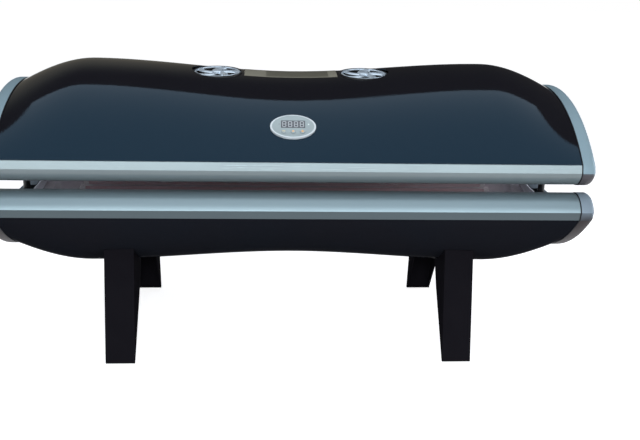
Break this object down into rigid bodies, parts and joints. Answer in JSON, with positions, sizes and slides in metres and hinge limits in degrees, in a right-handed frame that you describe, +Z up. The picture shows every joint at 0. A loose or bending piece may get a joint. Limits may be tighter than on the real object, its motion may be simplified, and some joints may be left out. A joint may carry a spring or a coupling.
{
  "type": "red light therapy bed",
  "caption": "Lie-in lamp bed: a curved bench on splayed legs with a hinged lamp canopy, chrome top fans, oval control panel, and gas springs at the ends.",
  "frame": {"origin": "on the floor under the middle of the whole bed, hinges included", "axes": "+X along the bed to the user's right as seen from the front, +Y from the front to the hinge side, +Z up"},
  "size_m": [2.2, 1.1011, 1.1056],
  "materials": {
    "bench_skin": "moulded, glossy near-black",
    "canopy_skin": "moulded, glossy dark slate blue",
    "rail": "satin silver-blue extrusion",
    "cap": "moulded, painted silver",
    "bulkhead": "dark grey powder coat",
    "rib": "grey powder coat",
    "reflector": "bright rolled sheet",
    "lamp": "red lamp tube",
    "lamp_holder": "off-white moulding",
    "acrylic": "clear, smoky against the lamps",
    "ballast": "dark box",
    "gland": "black moulding",
    "top_trim": "warm dark grey moulding",
    "top_trim_dark": "dark grey moulding",
    "fan_black": "black moulding",
    "motor": "black motor can",
    "chrome_trim": "polished",
    "panel": "painted silver",
    "display": "grey display window",
    "board": "green circuit board",
    "button": "pale keys with orange marks",
    "bracket": "black powder coat",
    "pin_steel": "zinc plated",
    "spring_tube": "black enamel",
    "rod_chrome": "hard chrome",
    "leg": "black powder coat",
    "pad": "black rubber"
  },
  "bodies": {
    "bench": {"bench_shell": "bench_skin", "bench_front_rail": "rail", "bench_rear_rail": "rail", "bench_end_cap_left": "cap", "bench_end_cap_right": "cap", "bench_bulkhead_left": "bulkhead", "bench_bulkhead_right": "bulkhead", "bench_rib_left": "rib", "bench_rib_right": "rib", "bench_reflector": "reflector", "bench_lamps": "lamp", "bench_lamp_holders": "lamp_holder", "bench_acrylic": "acrylic", "bench_ballast_box": "ballast", "power_gland": "gland", "hinge_leaves_bench": "bracket", "hinge_pins": "pin_steel", "spring_studs_bench": "pin_steel", "leg_front_left": "leg", "leg_front_right": "leg", "leg_rear_left": "leg", "leg_rear_right": "leg", "leg_bolts": "pin_steel", "foot_pads": "pad"},
    "canopy": {"canopy_shell": "canopy_skin", "canopy_front_rail": "rail", "canopy_rear_rail": "rail", "canopy_end_cap_left": "cap", "canopy_end_cap_right": "cap", "canopy_bulkhead_left": "bulkhead", "canopy_bulkhead_right": "bulkhead", "canopy_rib_left": "rib", "canopy_rib_right": "rib", "canopy_reflector": "reflector", "canopy_lamps": "lamp", "canopy_lamp_holders": "lamp_holder", "canopy_acrylic": "acrylic", "canopy_ballast_boxes": "ballast", "top_cover": "top_trim", "top_plate": "top_trim_dark", "fan_housing_left": "fan_black", "fan_housing_right": "fan_black", "fan_motor_left": "motor", "fan_motor_right": "motor", "fan_grille_left": "chrome_trim", "fan_grille_right": "chrome_trim", "panel_bezel": "panel", "display_window": "display", "panel_board": "board", "hinge_leaves_canopy": "bracket", "spring_studs_canopy": "pin_steel"},
    "gas_spring_tube_left": {"gas_spring_tube_left": "spring_tube"},
    "gas_spring_tube_right": {"gas_spring_tube_right": "spring_tube"},
    "gas_spring_rod_left": {"gas_spring_rod_left": "rod_chrome"},
    "gas_spring_rod_right": {"gas_spring_rod_right": "rod_chrome"},
    "fan_left": {"fan_impeller_left": "fan_black"},
    "fan_right": {"fan_impeller_right": "fan_black"},
    "key_minus": {"button_minus": "button"},
    "key_start": {"button_start": "button"},
    "key_plus": {"button_plus": "button"}
  },
  "joints": [
    {"name": "canopy_hinge", "type": "hinge", "parent": "bench", "child": "canopy", "pos_m": [0, 0.5385, 0.692], "axis": [-1, 0, 0], "range_deg": [0, 40]},
    {"name": "gas_spring_foot_left", "type": "hinge", "parent": "bench", "child": "gas_spring_tube_left", "pos_m": [-1.066, -0.0235, 0.432], "axis": [-1, 0, 0], "range_deg": [0, 20]},
    {"name": "gas_spring_head_left", "type": "hinge", "parent": "canopy", "child": "gas_spring_rod_left", "pos_m": [-1.066, -0.0235, 0.952], "axis": [-1, 0, 0], "range_deg": [-20, 0]},
    {"name": "gas_spring_foot_right", "type": "hinge", "parent": "bench", "child": "gas_spring_tube_right", "pos_m": [1.066, -0.0235, 0.432], "axis": [-1, 0, 0], "range_deg": [0, 20]},
    {"name": "gas_spring_head_right", "type": "hinge", "parent": "canopy", "child": "gas_spring_rod_right", "pos_m": [1.066, -0.0235, 0.952], "axis": [-1, 0, 0], "range_deg": [-20, 0]},
    {"name": "fan_spin_left", "type": "hinge", "parent": "canopy", "child": "fan_left", "pos_m": [-0.289, -0.0735, 1.07172], "axis": [0, -0.1225, 0.9925], "continuous": true},
    {"name": "fan_spin_right", "type": "hinge", "parent": "canopy", "child": "fan_right", "pos_m": [0.289, -0.0735, 1.07172], "axis": [0, -0.1225, 0.9925], "continuous": true},
    {"name": "press_minus", "type": "slide", "parent": "canopy", "child": "key_minus", "axis": [0, 0.6681, -0.7441], "range_m": [0, 0.001], "stiffness_N_per_m": 2000},
    {"name": "press_start", "type": "slide", "parent": "canopy", "child": "key_start", "axis": [0, 0.6681, -0.7441], "range_m": [0, 0.001], "stiffness_N_per_m": 2000},
    {"name": "press_plus", "type": "slide", "parent": "canopy", "child": "key_plus", "axis": [0, 0.6681, -0.7441], "range_m": [0, 0.001], "stiffness_N_per_m": 2000}
  ],
  "couplings": [
    {"joint": "gas_spring_foot_left", "follows": "canopy_hinge", "ratio": 0.5},
    {"joint": "gas_spring_head_left", "follows": "canopy_hinge", "ratio": -0.5},
    {"joint": "gas_spring_foot_right", "follows": "canopy_hinge", "ratio": 0.5},
    {"joint": "gas_spring_head_right", "follows": "canopy_hinge", "ratio": -0.5}
  ]
}
